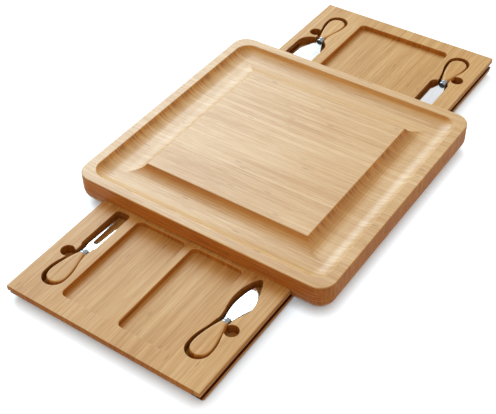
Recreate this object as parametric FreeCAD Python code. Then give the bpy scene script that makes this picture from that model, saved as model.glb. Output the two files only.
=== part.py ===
import FreeCAD, Part
import os
from math import sqrt

Vector = FreeCAD.Vector
UP = Vector(0, 0, 1)

# Board, in millimetres: a square slab on two side rails
board_side = 330.0
board_height = 40.0
rail_width = 41.2           # from the board's side to the drawers' bay
under_round = 18.0          # lower edge of the board, rounded under all the way round
sole_corner_radius = 1.5    # corner of the flat underside, inside that rounding
rim_ease = 1.2              # outer edge of the rim
rim_width = 12.0
channel_width = 46.5        # from the rim's inner edge to the platform's edge
channel_depth = 8.5
cove_radius = 16.0          # both sides of the channel
channel_corner_radius = 4.0     # corner of the channel's flat floor
arris_ease = 0.6            # rim's inner edge, platform edge, upper edges of the drawers and their wells

# Rubber pads under the rails
pad_height = 2.0
pad_radius = 8.0
pad_ease = 0.6
pad_margin = 55.0           # from the board's front and rear faces to the middle of a pad

# Drawers, each of three plies: the narrow middle ply leaves a groove along both sides
drawer_side_gap = 0.8
drawer_top_gap = 0.4
table_gap = 4.1             # from the table to the drawers' underside
top_ply = 6.5               # the wells are as deep as this ply
core_ply = 5.4
base_ply = 4.6
groove_depth = 5.0
drawer_hold = 8.0           # how much of a drawer stays in the board when it is drawn out
front_well_margin = 21.5    # from the drawer's outer end to its wells
rear_well_margin = 20.0
inner_margin = 12.0         # from the wells and pockets to the drawer's inner end
well_corner_radius = 6.5

# What carries and stops the drawers
runner_gap = 0.3            # above and below the runner, in the groove
runner_end_gap = 0.8        # from the runner to the bottom of the groove
runner_inset = 6.0          # how deep the runner is let into its rail
runner_setback = 3.5        # from the board's front and rear faces
stop_thickness = 5.0
stop_height = 12.0
stop_gap = 0.5

# Wells, across the drawer
front_well_inner = 4.6      # from the drawer's middle line
front_bar = 21.3            # from a front well to the tool's axis beside it
bell_bar = 31.5             # from the rear well to the axes of its two tools
chisel_bar = 20.5

# Tools: flat pear handle, steel ferrule, steel blade
tool_edge = 32.5            # from the drawer's side to a tool's axis
fork_set = 28.8             # from the drawer's outer end to the handle
spade_set = 34.0
bell_set = 25.8
chisel_set = 25.2
rear_tool_shift = 1.1       # of both rear tools, to the same side
handle_length = 49.5
handle_radius = 12.3
handle_thickness = 11.4
handle_lift = 0.2           # from the pocket's floor
neck_radius = 5.5           # less than half the thickness, so that the flats run out before the neck
ferrule_length = 7.5
collar_length = 2.4         # thicker ring of the ferrule, against the handle
collar_step = 0.4
ferrule_ease = 0.8          # chamfer of the ferrule's edge round the blade
blade_thickness = 1.8
root_width = 8.5            # blade where it leaves the ferrule
tang_width = 4.4
tang_length = 22.0
edge_bevel = 3.0            # length of the ground bevel along a cutting edge
edge_left = 0.4             # thickness that the bevel leaves

fork_width = 12.4
tine_width = 2.9
spade_width = 18.4
bell_width = 32.0
bell_corner_radius = 2.5
chisel_width = 18.2
chisel_corner_radius = 1.2

# Pockets
pocket_side_gap = 2.0
pocket_end_gap = 5.0
handle_room = 0.6           # how far the handle's pocket lies to one side of it, to get hold of it
finger_radius = 8.0
finger_offset = 13.8        # from the tool's axis, towards the drawer's side
finger_along = 43.5         # from the handle's end
fork_side_gap = 3.3         # on each side of a blade
bell_side_gap = 4.2
chisel_side_gap = 3.0
bell_room = 3.4             # how far a rear pocket lies to one side of its blade
chisel_room = 2.2
fork_tip_gap = 4.2          # from a blade's tip to the end of its pocket
spade_tip_gap = 8.5
bell_tip_gap = 10.5
chisel_tip_gap = 10.5
bell_pocket_shoulder = 20.0
chisel_pocket_shoulder = 8.5
pocket_corner_radius = 5.0
pocket_root = 3.0           # from the start of a blade's pocket to the blade
spade_pocket_gap = 3.8
neck_pocket_half = 7.2
overrun = 5.0               # how far a cut reaches past what it cuts

# Shares of the length and the radius along the handle, from its end to its neck
handle_profile_shares = [(0.238, 0.985), (0.637, 0.805)]
# Shares of the length and the width of each blade, from its root
fork_shoulder_shares = [(0.07, 0.39), (0.19, 0.50)]
fork_slot_share = 0.21
fork_point_share = 0.92
spade_tip_shares = (1.00, -0.08)
spade_spine_shares = (0.48, -0.38)
spade_belly_shares = (0.77, 0.50)
spade_corner_shares = (0.455, 0.68)
spade_heel_shares = (0.24, 0.44)
bell_shoulder_shares = [(0.21, 0.30), (0.38, 0.45)]
chisel_shoulder_shares = [(0.16, 0.40), (0.23, 0.50)]
spade_pocket_left_shares = [(0.11, -0.32), (0.40, -0.42), (0.67, -0.41), (0.94, -0.28)]
spade_pocket_right_shares = [(0.94, 0.31), (0.67, 0.48), (0.40, 0.58), (0.13, 0.42)]
spade_pocket_tip_share = 0.03

half = board_side / 2
corner_radius = sole_corner_radius + under_round
cove_run = sqrt(2 * cove_radius * channel_depth - channel_depth ** 2)
rim_inner = half - rim_width
platform_half = rim_inner - channel_width
channel_floor_z = board_height - channel_depth

drawer_bottom_z = table_gap
pocket_floor_z = drawer_bottom_z + base_ply
core_top_z = pocket_floor_z + core_ply
drawer_top_z = core_top_z + top_ply
slab_z = drawer_top_z + drawer_top_gap
cavity_half = half - rail_width
drawer_half = cavity_half - drawer_side_gap
drawer_length = half - stop_thickness / 2 - stop_gap
drawer_pull = drawer_length - drawer_hold
pocket_end = drawer_length - inner_margin
runner_reach = drawer_side_gap + groove_depth - runner_end_gap

tool_axis = drawer_half - tool_edge
front_well_outer = tool_axis - front_bar
rear_well_left = tool_axis - bell_bar
rear_well_right = tool_axis - chisel_bar
neck_at = handle_length
blade_at = neck_at + ferrule_length
fork_length = pocket_end - fork_tip_gap - fork_set - blade_at
spade_length = pocket_end - spade_tip_gap - spade_set - blade_at
bell_length = pocket_end - bell_tip_gap - bell_set - blade_at
chisel_length = pocket_end - chisel_tip_gap - chisel_set - blade_at
fork_pocket_half = fork_width / 2 + fork_side_gap
bell_pocket_half = bell_width / 2 + bell_side_gap
chisel_pocket_half = chisel_width / 2 + chisel_side_gap
tool_z = pocket_floor_z + handle_lift + handle_thickness / 2
tang_half = tang_width / 2
root_half = root_width / 2


def block(x0, x1, y0, y1, z0, z1):
    """Box between two corners."""
    return Part.makeBox(x1 - x0, y1 - y0, z1 - z0, Vector(x0, y0, z0))


def rounded_block(x0, x1, y0, y1, z0, z1, radius):
    """Box with its upright edges rounded."""
    plain = block(x0, x1, y0, y1, z0, z1)
    upright = [e for e in plain.Edges if e.BoundBox.ZLength > (z1 - z0) / 2]
    return plain.makeFillet(radius, upright)


def edges_at(shape, z, inside=None):
    """Edges that lie flat at one height, all of them or those within half a width of the middle."""
    slack = arris_ease / 2
    flat = [e for e in shape.Edges if e.BoundBox.ZLength < slack and abs(e.BoundBox.ZMin - z) < slack]
    if inside is None:
        return flat
    return [e for e in flat if max(abs(e.CenterOfMass.x), abs(e.CenterOfMass.y)) < inside]


def trace(start, *steps):
    """Face inside an outline: a step of one point is a line, of two an arc, of more a spline."""
    edges = []
    here = start
    for step in steps:
        if len(step) == 1:
            edges.append(Part.LineSegment(here, step[0]).toShape())
        elif len(step) == 2:
            edges.append(Part.Arc(here, step[0], step[1]).toShape())
        else:
            spline = Part.BSplineCurve()
            spline.interpolate([here, *step])
            edges.append(spline.toShape())
        here = step[-1]
    return Part.Face(Part.Wire(edges))


def board_envelope():
    """Whole board before it is cut: eased above, rounded under below."""
    body = rounded_block(-half, half, -half, half, pad_height, board_height, corner_radius)
    body = body.makeFillet(under_round, edges_at(body, pad_height))
    return body.makeFillet(rim_ease, edges_at(body, board_height))


def tray_void():
    """Space that the channel takes: a coved tray less a platform with coved sides."""
    floor_half = rim_inner - cove_run
    wall_half = floor_half + cove_radius
    top = channel_floor_z + cove_radius + overrun
    void = rounded_block(-wall_half, wall_half, -wall_half, wall_half, channel_floor_z, top,
                         channel_corner_radius + cove_radius)
    void = void.makeFillet(cove_radius, edges_at(void, channel_floor_z))
    foot_half = platform_half + cove_run
    platform = block(-foot_half, foot_half, -foot_half, foot_half, channel_floor_z, top)
    length = 2 * (foot_half + overrun)
    for turn in range(4):
        cove = Part.makeCylinder(cove_radius, length, Vector(foot_half, -length / 2, channel_floor_z + cove_radius),
                                 Vector(0, 1, 0))
        cove.rotate(Vector(), UP, 90 * turn)
        platform = platform.cut(cove)
    above = block(-half, half, -half, half, board_height, top)
    return void.cut(platform.cut(above))


def tray_top(envelope):
    """Milled slab with its rim, channel and platform."""
    slab = envelope.common(block(-half, half, -half, half, slab_z, board_height + overrun))
    slab = slab.cut(tray_void())
    return slab.makeFillet(arris_ease, edges_at(slab, board_height, inside=rim_inner + arris_ease))


def runner(side):
    """Tongue along one rail, in the grooves of both drawers."""
    near = cavity_half - runner_reach
    far = cavity_half + runner_inset
    reach = half - runner_setback
    strip = block(near, far, -reach, reach, pocket_floor_z + runner_gap, core_top_z - runner_gap)
    if side < 0:
        strip.rotate(Vector(), UP, 180)
    return strip


def side_rail(envelope, side, tongue):
    """Rail under one side of the slab, with the slot that its runner is let into."""
    space = block(cavity_half, half, -half, half, pad_height, slab_z)
    if side < 0:
        space.rotate(Vector(), UP, 180)
    return envelope.common(space).cut(tongue)


def centre_stop():
    """Bar under the slab that both drawers meet."""
    reach = cavity_half - runner_reach - stop_gap
    return block(-reach, reach, -stop_thickness / 2, stop_thickness / 2, slab_z - stop_height, slab_z)


def feet():
    """Four pads, in the middle of the flat underside of the rails."""
    across = (cavity_half + half - under_round) / 2
    pads = []
    for x in (-across, across):
        for y in (pad_margin - half, half - pad_margin):
            pad = Part.makeCylinder(pad_radius, pad_height, Vector(x, y, 0))
            pads.append(pad.makeFillet(pad_ease, edges_at(pad, 0)))
    return Part.makeCompound(pads)


def pear_side(radius, start, neck, side):
    """Arcs down one side of a pear outline, each leaving in the direction in which the last one arrived."""
    length = neck_at - start
    points = [Vector(0, start, 0)]
    points += [Vector(side * radius * wide, start + length * along, 0) for along, wide in handle_profile_shares]
    points.append(Vector(side * neck, neck_at, 0))
    direction = Vector(side, 0, 0)
    arcs = []
    for near, far in zip(points, points[1:]):
        chord = far - near
        straight = Vector(chord).normalize()
        share = direction.dot(straight)
        aside = direction - straight * share
        middle = (near + far) / 2 + aside * (chord.Length / 2 / (1 + share))
        arcs.append(Part.Arc(near, middle, far).toShape())
        direction = straight * (2 * share) - direction
    return arcs


def handle(tang):
    """Pear of revolution between two flats, slotted for the tang."""
    end = Vector()
    neck = Vector(0, neck_at, 0)
    rim = Vector(neck_radius, neck_at, 0)
    profile = pear_side(handle_radius, 0, neck_radius, 1)
    profile += [Part.LineSegment(rim, neck).toShape(), Part.LineSegment(neck, end).toShape()]
    pear = Part.Face(Part.Wire(profile)).revolve(Vector(), Vector(0, 1, 0), 360)
    wide = handle_radius + overrun
    flats = block(-wide, wide, -overrun, neck_at + overrun, -handle_thickness / 2, handle_thickness / 2)
    return pear.common(flats).cut(tang)


def ferrule(tang):
    """Turned steel sleeve between handle and blade, with a thicker ring against the handle."""
    sleeve = neck_radius - collar_step
    profile = [
        (0, neck_at), (neck_radius, neck_at), (neck_radius, neck_at + collar_length),
        (sleeve, neck_at + collar_length + collar_step), (sleeve, blade_at - ferrule_ease),
        (sleeve - ferrule_ease, blade_at), (0, blade_at), (0, neck_at),
    ]
    outline = Part.makePolygon([Vector(x, y, 0) for x, y in profile])
    return Part.Face(outline).revolve(Vector(), Vector(0, 1, 0), 360).cut(tang)


def tang():
    """Flat root of a blade, through the ferrule and into the handle."""
    return block(-tang_half, tang_half, neck_at - tang_length, blade_at, -blade_thickness / 2, blade_thickness / 2)


def on_blade(length, width, shares, side=1):
    """Point of a blade's outline from its shares along and across."""
    along, wide = shares
    return Vector(side * width * wide, blade_at + length * along, 0)


def plate(face):
    """Flat steel of the blade's thickness, about the tool's middle plane."""
    sheet = face.extrude(UP * blade_thickness)
    sheet.translate(UP * (-blade_thickness / 2))
    return sheet


def ground(sheet, tip, width):
    """Bevel ground on the upper side of a straight cutting edge across the blade's end."""
    low = edge_left - blade_thickness / 2
    high = blade_thickness / 2
    points = [(tip - edge_bevel, high), (tip + overrun, high + overrun), (tip + overrun, low), (tip, low),
              (tip - edge_bevel, high)]
    wedge = Part.Face(Part.makePolygon([Vector(-width, y, z) for y, z in points]))
    return sheet.cut(wedge.extrude(Vector(2 * width, 0, 0)))


def root_points():
    """Both corners of the blade at the ferrule."""
    return Vector(-root_half, blade_at, 0), Vector(root_half, blade_at, 0)


def fork_blade():
    """Two long tines on a narrow palm."""
    left_root, right_root = root_points()
    bend, shoulder = fork_shoulder_shares
    tip = blade_at + fork_length
    point = tine_width / 2
    edge = fork_width / 2
    outline = trace(
        left_root,
        (on_blade(fork_length, fork_width, bend, -1), on_blade(fork_length, fork_width, shoulder, -1)),
        (Vector(-edge, blade_at + fork_length * fork_point_share, 0),),
        (Vector(point - edge, tip, 0),),
        (Vector(edge - point, tip, 0),),
        (Vector(edge, blade_at + fork_length * fork_point_share, 0),),
        (on_blade(fork_length, fork_width, shoulder),),
        (on_blade(fork_length, fork_width, bend), right_root),
        (left_root,))
    slot_half = edge - tine_width
    slot_at = blade_at + fork_length * fork_slot_share + slot_half
    slot = Part.makeCylinder(slot_half, blade_thickness, Vector(0, slot_at, -blade_thickness / 2))
    slot = slot.fuse(block(-slot_half, slot_half, slot_at, tip + overrun, -blade_thickness / 2, blade_thickness / 2))
    return plate(outline).cut(slot)


def spade_blade():
    """Pointed blade with a straight spine and a full belly."""
    left_root, right_root = root_points()
    places = [on_blade(spade_length, spade_width, shares) for shares in (
        spade_spine_shares, spade_tip_shares, spade_belly_shares, spade_corner_shares, spade_heel_shares)]
    spine, tip, belly, corner, heel = places
    return plate(trace(left_root, (spine, tip), (belly, corner), (heel, right_root), (left_root,)))


def broad_blade(length, width, shoulder_shares, corner):
    """Flat blade that flares from its root to a straight ground edge."""
    left_root, right_root = root_points()
    bend, shoulder = shoulder_shares
    tip = blade_at + length
    edge = width / 2
    inward = corner - corner / sqrt(2)
    outline = trace(
        left_root,
        (on_blade(length, width, bend, -1), on_blade(length, width, shoulder, -1)),
        (Vector(-edge, tip - corner, 0),),
        (Vector(inward - edge, tip - inward, 0), Vector(corner - edge, tip, 0)),
        (Vector(edge - corner, tip, 0),),
        (Vector(edge - inward, tip - inward, 0), Vector(edge, tip - corner, 0)),
        (on_blade(length, width, shoulder),),
        (on_blade(length, width, bend), right_root),
        (left_root,))
    return ground(plate(outline), tip, width)


def blade(name):
    """One tool's blade, with its tang."""
    if name == "fork":
        shape = fork_blade()
    elif name == "spade":
        shape = spade_blade()
    elif name == "bell":
        shape = broad_blade(bell_length, bell_width, bell_shoulder_shares, bell_corner_radius)
    else:
        shape = broad_blade(chisel_length, chisel_width, chisel_shoulder_shares, chisel_corner_radius)
    return shape.fuse(tang()).removeSplitter()


def cutter(face):
    """Cut through the upper two plies, from the pocket's floor up."""
    depth = drawer_top_z - pocket_floor_z + overrun
    solid = face.extrude(UP * depth)
    solid.translate(UP * pocket_floor_z)
    return solid


def shouldered(half_width, shoulder, end):
    """Pocket for a blade: round shoulders at its root, small corners at its far end."""
    start = blade_at - pocket_root
    cut = rounded_block(-half_width, half_width, start, end, pocket_floor_z, drawer_top_z + overrun,
                        pocket_corner_radius)
    for side in (-1, 1):
        x = side * half_width
        inner = side * (half_width - shoulder)
        square = block(min(x, inner), max(x, inner), start - overrun, start + shoulder,
                       pocket_floor_z - overrun, drawer_top_z + 2 * overrun)
        round_off = Part.makeCylinder(shoulder, drawer_top_z - pocket_floor_z + 4 * overrun,
                                      Vector(inner, start + shoulder, pocket_floor_z - 2 * overrun))
        cut = cut.cut(square.cut(round_off))
    return cut


def spade_pocket(end):
    """Pocket with a blunt pointed far end, a little wider than the spade."""
    width = spade_width + 2 * spade_pocket_gap
    start = blade_at - pocket_root
    left = [on_blade(spade_length, width, shares) for shares in spade_pocket_left_shares]
    right = [on_blade(spade_length, width, shares) for shares in spade_pocket_right_shares]
    tip = Vector(width * spade_pocket_tip_share, end, 0)
    near = Vector(-neck_pocket_half, start, 0)
    far = Vector(neck_pocket_half, start, 0)
    return cutter(trace(near, (*left, tip, *right, far), (near,)))


def pockets(name, outer_side, room_side, end):
    """Cuts for one tool: handle, neck, blade and the round finger notch."""
    wide = handle_radius + pocket_side_gap
    bar = Part.LineSegment(Vector(neck_pocket_half, neck_at, 0), Vector(-neck_pocket_half, neck_at, 0)).toShape()
    outline = pear_side(wide, -pocket_end_gap, neck_pocket_half, 1) + [bar]
    outline += pear_side(wide, -pocket_end_gap, neck_pocket_half, -1)
    pear = cutter(Part.Face(Part.Wire(Part.sortEdges(outline)[0])))
    pear.translate(Vector(room_side * handle_room, 0, 0))
    neck = block(-neck_pocket_half, neck_pocket_half, neck_at, blade_at + ferrule_length,
                 pocket_floor_z, drawer_top_z + overrun)
    notch = Part.makeCylinder(finger_radius, drawer_top_z - pocket_floor_z + overrun,
                              Vector(outer_side * finger_offset, finger_along, pocket_floor_z))
    if name == "fork":
        room = shouldered(fork_pocket_half, fork_pocket_half, end)
    elif name == "spade":
        room = spade_pocket(end)
    elif name == "bell":
        room = shouldered(bell_pocket_half, bell_pocket_shoulder, end)
        room.translate(Vector(room_side * bell_room, 0, 0))
    else:
        room = shouldered(chisel_pocket_half, chisel_pocket_shoulder, end)
        room.translate(Vector(room_side * chisel_room, 0, 0))
    return [pear, neck, notch, room]


def in_drawer(shape, across, along):
    """Shape at its place across and along the front drawer, pushed in."""
    placed = shape.copy()
    placed.translate(Vector(across, along - half, 0))
    return placed


def pulled_out(shape, turn):
    """Shape of a drawer at rest: drawn out to the front, or turned about to the rear."""
    placed = shape.copy()
    placed.translate(Vector(0, -drawer_pull, 0))
    placed.rotate(Vector(), UP, turn)
    return placed


def ply(envelope, half_width, z0, z1):
    """One ply of a drawer, its outer end rounded under with the board's own edge."""
    return envelope.common(block(-half_width, half_width, -half, drawer_length - half, z0, z1))


def drawer(envelope, wells, well_margin, tools, room_side, turn):
    """Three plies of one drawer: wells through the upper one, tool pockets through the upper two."""
    upper = ply(envelope, drawer_half, core_top_z, drawer_top_z)
    core = ply(envelope, drawer_half - groove_depth, pocket_floor_z, core_top_z)
    base = ply(envelope, drawer_half, drawer_bottom_z, pocket_floor_z)
    for x0, x1 in wells:
        well = rounded_block(x0, x1, well_margin, pocket_end, core_top_z, drawer_top_z + overrun,
                             well_corner_radius)
        upper = upper.cut(in_drawer(well, 0, 0))
    upper = upper.makeFillet(arris_ease, edges_at(upper, drawer_top_z, inside=half - arris_ease))
    for name, axis_x, tool_set in tools:
        outer_side = 1 if axis_x > 0 else -1
        for cut in pockets(name, outer_side, room_side, pocket_end - tool_set):
            placed = in_drawer(cut, axis_x, tool_set)
            upper = upper.cut(placed)
            core = core.cut(placed)
    plies = {"top": upper.removeSplitter(), "core": core.removeSplitter(), "base": base}
    return {layer: pulled_out(shape, turn) for layer, shape in plies.items()}


def build():
    """Every node of the part, by name."""
    envelope = board_envelope()
    nodes = {"tray_top": tray_top(envelope), "centre_stop": centre_stop(), "feet": feet()}
    for side, word in ((-1, "left"), (1, "right")):
        tongue = runner(side)
        nodes[word + "_runner"] = tongue
        nodes[word + "_side_rail"] = side_rail(envelope, side, tongue)
    front_wells = [(-front_well_outer, -front_well_inner), (front_well_inner, front_well_outer)]
    rear_wells = [(-rear_well_right, rear_well_left)]
    front_tools = [("fork", -tool_axis, fork_set), ("spade", tool_axis, spade_set)]
    rear_tools = [
        ("bell", tool_axis - rear_tool_shift, bell_set), ("chisel", -tool_axis - rear_tool_shift, chisel_set),
    ]
    drawers = [
        ("front", front_wells, front_well_margin, front_tools, -1, 0),
        ("rear", rear_wells, rear_well_margin, rear_tools, 1, 180),
    ]
    for word, wells, well_margin, tools, room_side, turn in drawers:
        for layer, shape in drawer(envelope, wells, well_margin, tools, room_side, turn).items():
            nodes[word + "_drawer_" + layer] = shape
        for name, axis_x, tool_set in tools:
            pieces = {"blade": blade(name), "ferrule": ferrule(tang()), "handle": handle(tang())}
            for piece, shape in pieces.items():
                raised = shape.copy()
                raised.translate(UP * tool_z)
                nodes[name + "_" + piece] = pulled_out(in_drawer(raised, axis_x, tool_set), turn)
    return nodes


os.makedirs("parts", exist_ok=True)
for node, shape in build().items():
    shape.exportStep("parts/" + node + ".step")
    size = shape.BoundBox
    print(f"{node:20s} solids {len(shape.Solids)} valid {shape.isValid()} volume {shape.Volume / 1000:.1f} cm3",
          f"size {size.XLength:.1f} x {size.YLength:.1f} x {size.ZLength:.1f}")
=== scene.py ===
# %% [markdown]
# # A bamboo cheese board with two drawers
#
# The real board is a square tray of glued bamboo strips on two side rails. Two drawers slide out
# from under it, one towards us and one away, and each carries two small cheese tools in pockets
# cut to their outline. The shapes come from a construction model, so this lesson is mostly about
# finish: how glued bamboo, polished steel and rubber are described with nodes, and how the few
# pieces that were turned, stamped, milled or moulded get their softer forms.

# %% Load the construction model
from math import cos, pi, radians, sin
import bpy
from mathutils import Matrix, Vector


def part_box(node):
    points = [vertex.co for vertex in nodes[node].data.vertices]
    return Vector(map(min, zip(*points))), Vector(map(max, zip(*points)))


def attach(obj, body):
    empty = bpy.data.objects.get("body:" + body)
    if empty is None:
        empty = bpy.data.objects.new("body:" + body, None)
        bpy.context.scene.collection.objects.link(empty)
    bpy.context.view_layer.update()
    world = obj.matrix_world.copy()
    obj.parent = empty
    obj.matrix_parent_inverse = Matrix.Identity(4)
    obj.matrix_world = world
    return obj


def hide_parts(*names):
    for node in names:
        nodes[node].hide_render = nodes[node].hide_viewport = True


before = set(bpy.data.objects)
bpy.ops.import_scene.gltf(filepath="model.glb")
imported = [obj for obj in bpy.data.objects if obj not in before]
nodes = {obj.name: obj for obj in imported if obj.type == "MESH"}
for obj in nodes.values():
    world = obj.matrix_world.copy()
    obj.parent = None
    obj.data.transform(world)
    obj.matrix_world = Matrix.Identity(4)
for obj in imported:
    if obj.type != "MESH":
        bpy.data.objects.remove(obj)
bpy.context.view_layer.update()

from types import SimpleNamespace

import bmesh
import bpy
from mathutils import Matrix, Vector

# %% [markdown]
# ## The camera
#
# The photograph looks down on the board from its front right, with a lens long enough that the
# board's opposite edges stay almost parallel. The place and the lens were found by matching the
# board's corners, so they are kept as they came out. The small roll is the photographer's own:
# the camera was not quite level.

# %% Camera
eye = Vector((0.4882, -0.7412, 0.7694))
turn_left = radians(35.75)
look_down = radians(42.90)
roll = radians(-1.76)

camera_data = bpy.data.cameras.new("camera")
camera_data.sensor_fit = "HORIZONTAL"
camera_data.sensor_width = 36.0
camera_data.lens = 72.57
camera = bpy.data.objects.new("camera", camera_data)
camera.matrix_world = (
    Matrix.Translation(eye)
    @ Matrix.Rotation(turn_left, 4, "Z")
    @ Matrix.Rotation(radians(90) - look_down, 4, "X")
    @ Matrix.Rotation(roll, 4, "Z")
)
bpy.context.scene.collection.objects.link(camera)
bpy.context.scene.camera = camera
bpy.context.scene.view_settings.view_transform = "Standard"
print("camera lens", camera_data.lens, "mm, eye", tuple(eye))

# %% [markdown]
# ## Helpers for node trees
#
# Every finish below is a tree of nodes. Written out in full, each node takes three or four lines,
# so a few small helpers keep the recipes readable. One adds any node and one does arithmetic, with
# three more for the sums that come most often. One mixes two colours, one turns a distance into a
# soft step, one turns a colour seen on screen into light values, and one starts a material.

# %% Node helpers
def add(tree, kind, inputs=None, **options):
    """Adds one node. Inputs are plain values, or sockets to link from."""
    node = tree.nodes.new(kind)
    for option, value in options.items():
        setattr(node, option, value)
    for socket, value in (inputs or {}).items():
        if isinstance(value, bpy.types.NodeSocket):
            tree.links.new(value, node.inputs[socket])
        else:
            node.inputs[socket].default_value = value
    return node


def calc(tree, operation, *values):
    """The result of one Math node."""
    node = add(tree, "ShaderNodeMath", dict(enumerate(values)), operation=operation)
    return node.outputs[0]


def product(tree, first, *others):
    """All the values multiplied."""
    for other in others:
        first = calc(tree, "MULTIPLY", first, other)
    return first


def left_of(tree, share):
    """What is left of a whole without this share."""
    return calc(tree, "SUBTRACT", 1.0, share)


def around(tree, value, weight):
    """A 0 to 1 value turned into a push up or down of at most half the weight."""
    return product(tree, calc(tree, "SUBTRACT", value, 0.5), weight)


print("arithmetic helpers ready")

# %% Helpers for colours and materials
def mixed(tree, share, first, second, how="MIX"):
    """Two colours, with share of the second laid over the first."""
    inputs = {0: share, 6: first, 7: second}
    node = add(tree, "ShaderNodeMix", inputs, data_type="RGBA", blend_type=how)
    return node.outputs[2]


def step(tree, value, start, end):
    """Rises smoothly from 0 at start to 1 at end, or falls where end is the lower one."""
    rising = start < end
    inputs = {
        "Value": value, "From Min": min(start, end), "From Max": max(start, end),
        "To Min": 0.0 if rising else 1.0, "To Max": 1.0 if rising else 0.0,
    }
    node = add(tree, "ShaderNodeMapRange", inputs, interpolation_type="SMOOTHSTEP")
    return node.outputs[0]


def tone(red, green, blue):
    """A colour as it is seen on screen, 0 to 255, turned into light values by the sRGB curve."""
    light = []
    for channel in (red, green, blue):
        share = channel / 255
        light.append(share / 12.92 if share <= 0.04045 else ((share + 0.055) / 1.055) ** 2.4)
    return (*light, 1.0)


def new_material(name):
    """An empty material, its node tree, and the Principled shader that ends it."""
    material = bpy.data.materials.new(name)
    material.use_nodes = True
    tree = material.node_tree
    tree.nodes.clear()
    shader = add(tree, "ShaderNodeBsdfPrincipled")
    add(tree, "ShaderNodeOutputMaterial", {"Surface": shader.outputs[0]})
    return material, tree, shader


print("honey tone in light values:", [round(part, 3) for part in tone(219, 186, 138)])

# %% [markdown]
# ## Floor, background and light
#
# The photograph was taken on white paper under one broad soft lamp at the back left, and the
# sheen on the left half of the board is that lamp, seen in the satin finish. White paper must
# look white without throwing more light on the board, so the camera, and the metal's
# reflections, see it glow a little, while other rays meet an ordinary pale floor. Because only a
# part of the floor is glow, the object's shadow still shows on it. Close to the object the glow is
# dimmed by ambient occlusion, a painted contact shadow on the paper.

# %% Floor
FLOOR_HALF = 4.0

floor_corners = [
    (-FLOOR_HALF, -FLOOR_HALF, 0), (FLOOR_HALF, -FLOOR_HALF, 0),
    (FLOOR_HALF, FLOOR_HALF, 0), (-FLOOR_HALF, FLOOR_HALF, 0),
]
floor_mesh = bpy.data.meshes.new("floor")
floor_mesh.from_pydata(floor_corners, [], [(0, 1, 2, 3)])
floor = bpy.data.objects.new("floor", floor_mesh)
bpy.context.scene.collection.objects.link(floor)
print("floor:", 2 * FLOOR_HALF, "m square")

# %% White paper
PAPER_GLOW = (0.68, 0.80, 0.93, 1.0)
PAPER_WHITE = (0.75, 0.90, 1.0, 1.0)
PAPER_BOUNCE = (0.46, 0.36, 0.27, 1.0)
# Within this distance ambient occlusion dims the paper's glow: a painted contact shadow.
CONTACT_SHADOW_REACH = 0.013
NEAR_SAMPLES = 8


def seen_directly(tree):
    """1 for rays that show the background: from the camera, or by way of metal or glass."""
    path = add(tree, "ShaderNodeLightPath")
    shown = calc(tree, "MAXIMUM", path.outputs["Is Camera Ray"], path.outputs["Is Glossy Ray"])
    return calc(tree, "MAXIMUM", shown, path.outputs["Is Transmission Ray"])


paper = bpy.data.materials.new("white_paper")
paper.use_nodes = True
paper_tree = paper.node_tree
paper_tree.nodes.clear()
# Ambient occlusion dims the glow near the object, a painted contact shadow on the paper.
painted_contact_shadow = add(paper_tree, "ShaderNodeAmbientOcclusion", {"Distance": CONTACT_SHADOW_REACH}, samples=NEAR_SAMPLES)
glow = add(paper_tree, "ShaderNodeEmission", {"Color": PAPER_GLOW, "Strength": painted_contact_shadow.outputs["AO"]})
white = add(paper_tree, "ShaderNodeBsdfDiffuse", {"Color": PAPER_WHITE})
bounce = add(paper_tree, "ShaderNodeBsdfDiffuse", {"Color": PAPER_BOUNCE})
lit = add(paper_tree, "ShaderNodeAddShader", {0: white.outputs[0], 1: glow.outputs[0]})
paper_seen = add(paper_tree, "ShaderNodeMixShader",
                 {0: seen_directly(paper_tree), 1: bounce.outputs[0], 2: lit.outputs[0]})
add(paper_tree, "ShaderNodeOutputMaterial", {"Surface": paper_seen.outputs[0]})
floor_mesh.materials.append(paper)
print("paper glows less within", CONTACT_SHADOW_REACH, "m of the object")

# %% World
AMBIENT_COLOUR = (1.0, 0.62, 0.32, 1.0)
AMBIENT_STRENGTH = 0.60
BACKDROP_WHITE = (1.0, 1.0, 1.0, 1.0)

world = bpy.data.worlds.new("studio")
bpy.context.scene.world = world
world.use_nodes = True
world_tree = world.node_tree
world_tree.nodes.clear()
ambient = add(world_tree, "ShaderNodeBackground",
              {"Color": AMBIENT_COLOUR, "Strength": AMBIENT_STRENGTH})
backdrop = add(world_tree, "ShaderNodeBackground", {"Color": BACKDROP_WHITE, "Strength": 1.0})
world_seen = add(world_tree, "ShaderNodeMixShader",
                 {0: seen_directly(world_tree), 1: ambient.outputs[0], 2: backdrop.outputs[0]})
add(world_tree, "ShaderNodeOutputWorld", {"Surface": world_seen.outputs[0]})
print("ambient light", AMBIENT_STRENGTH)

# %% Lamp
LAMP_PLACE = Vector((-2.75, 2.00, 2.35))
LAMP_SIZE = 2.5
LAMP_POWER = 160.0
LAMP_COLOUR = (0.68, 0.88, 1.0)

lamp_data = bpy.data.lights.new("softbox", "AREA")
lamp_data.shape = "SQUARE"
lamp_data.size = LAMP_SIZE
lamp_data.energy = LAMP_POWER
lamp_data.color = LAMP_COLOUR
lamp = bpy.data.objects.new("softbox", lamp_data)
lamp.location = LAMP_PLACE
lamp.rotation_euler = (-LAMP_PLACE).to_track_quat("-Z", "Y").to_euler()
bpy.context.scene.collection.objects.link(lamp)
print("softbox", round(LAMP_PLACE.length, 2), "m from the board")

# %% [markdown]
# ## Glued bamboo
#
# Bamboo boards are glued up from strips about six millimetres wide, stood on edge. What the eye
# reads as bamboo is that each strip has its own tone, that fine fibres run the whole length, and
# that here and there a strip shows the short dark dash of a node, the joint of the cane. An image
# could show that, but only from one side. Here the pattern is worked out in space instead, from
# the distance along the grain, across the strips and up, so that the top, the coves, the edges
# and the end grain all come from the same strips, as they do on the real board. In these recipes
# lengths are in mm, and a pair of numbers is where a soft step starts and where it ends.

# %% Grain coordinates
MM_PER_METRE = 1000.0


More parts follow.
